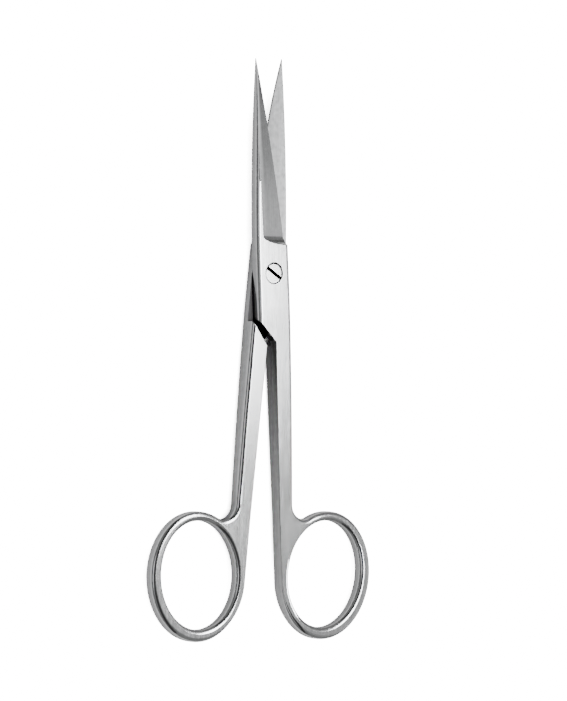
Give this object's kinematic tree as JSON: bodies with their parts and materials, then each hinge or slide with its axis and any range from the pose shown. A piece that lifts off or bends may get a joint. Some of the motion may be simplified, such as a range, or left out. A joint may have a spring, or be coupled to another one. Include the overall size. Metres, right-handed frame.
{
  "type": "surgical scissors",
  "caption": "Straight fine-pointed surgical scissors of satin steel: two lap-jointed halves with oval finger rings on a slotted countersunk pivot screw.",
  "frame": {"origin": "On the pivot axis, in the flat outer face of the rear half's box, which is the back of the scissors.", "axes": "+Y runs along the handles' centre line towards the blade tips, +X to the right seen from the screw head's side, +Z along the pivot axis from the back towards the screw head."},
  "size_m": [0.0544, 0.1147, 0.0039],
  "materials": {
    "instrument_steel": "satin stainless steel, finely brushed along the instrument",
    "screw_steel": "turned stainless steel, lightly polished"
  },
  "bodies": {
    "rear_body": {"rear_half": "instrument_steel", "pivot_screw": "screw_steel"},
    "front_body": {"front_half": "instrument_steel"}
  },
  "joints": [
    {"name": "pivot", "type": "hinge", "parent": "rear_body", "child": "front_body", "pos_m": [0, 0, 0], "axis": [0, 0, 1], "range_deg": [-8.6, 120]}
  ]
}
